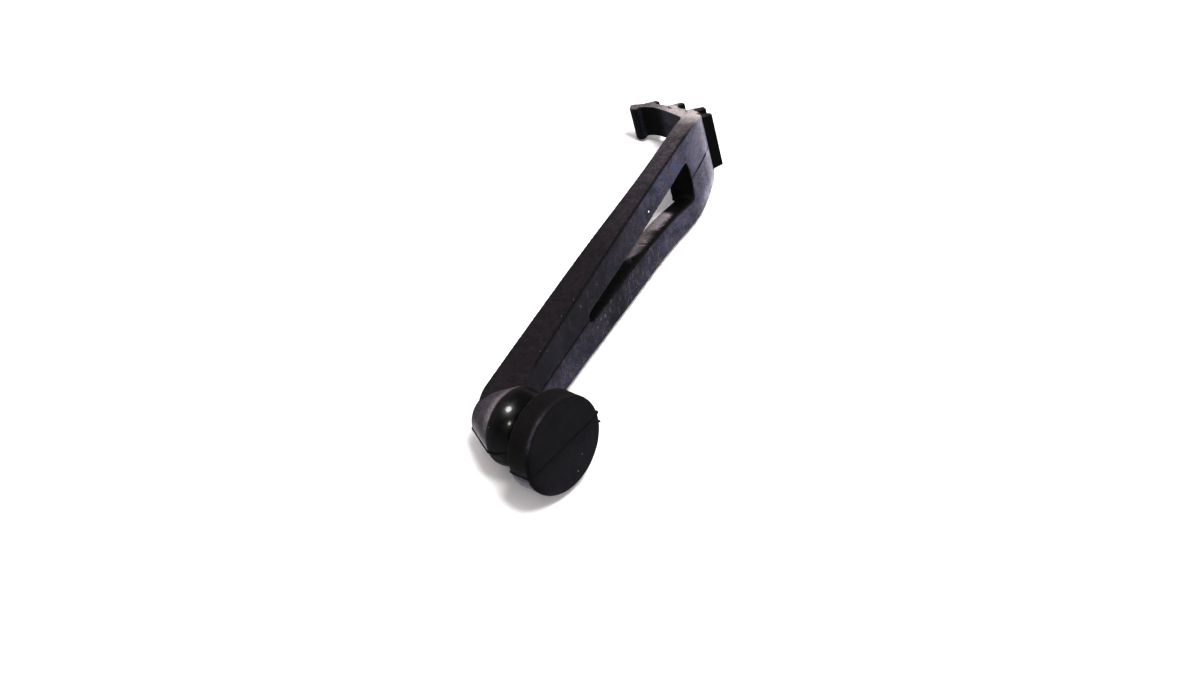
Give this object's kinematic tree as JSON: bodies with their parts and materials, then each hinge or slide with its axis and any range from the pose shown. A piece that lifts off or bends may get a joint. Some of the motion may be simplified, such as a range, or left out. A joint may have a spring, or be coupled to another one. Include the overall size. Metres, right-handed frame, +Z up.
{
  "type": "rubber hold-down strap",
  "caption": "One-piece moulded rubber hold-down strap: round button on a neck, slotted flat band widening to a bend, and a ribbed finger pull tab.",
  "frame": {"origin": "middle of the bounding box in plan, on the floor that the strap rests on", "axes": "+X from the button towards the hook end, +Y from the button's face towards its back, +Z up from the floor"},
  "size_m": [0.1116, 0.0666, 0.0214],
  "materials": {
    "rubber": "matt moulded rubber with a little bloom"
  },
  "bodies": {
    "root": {"strap": "rubber"}
  },
  "joints": []
}
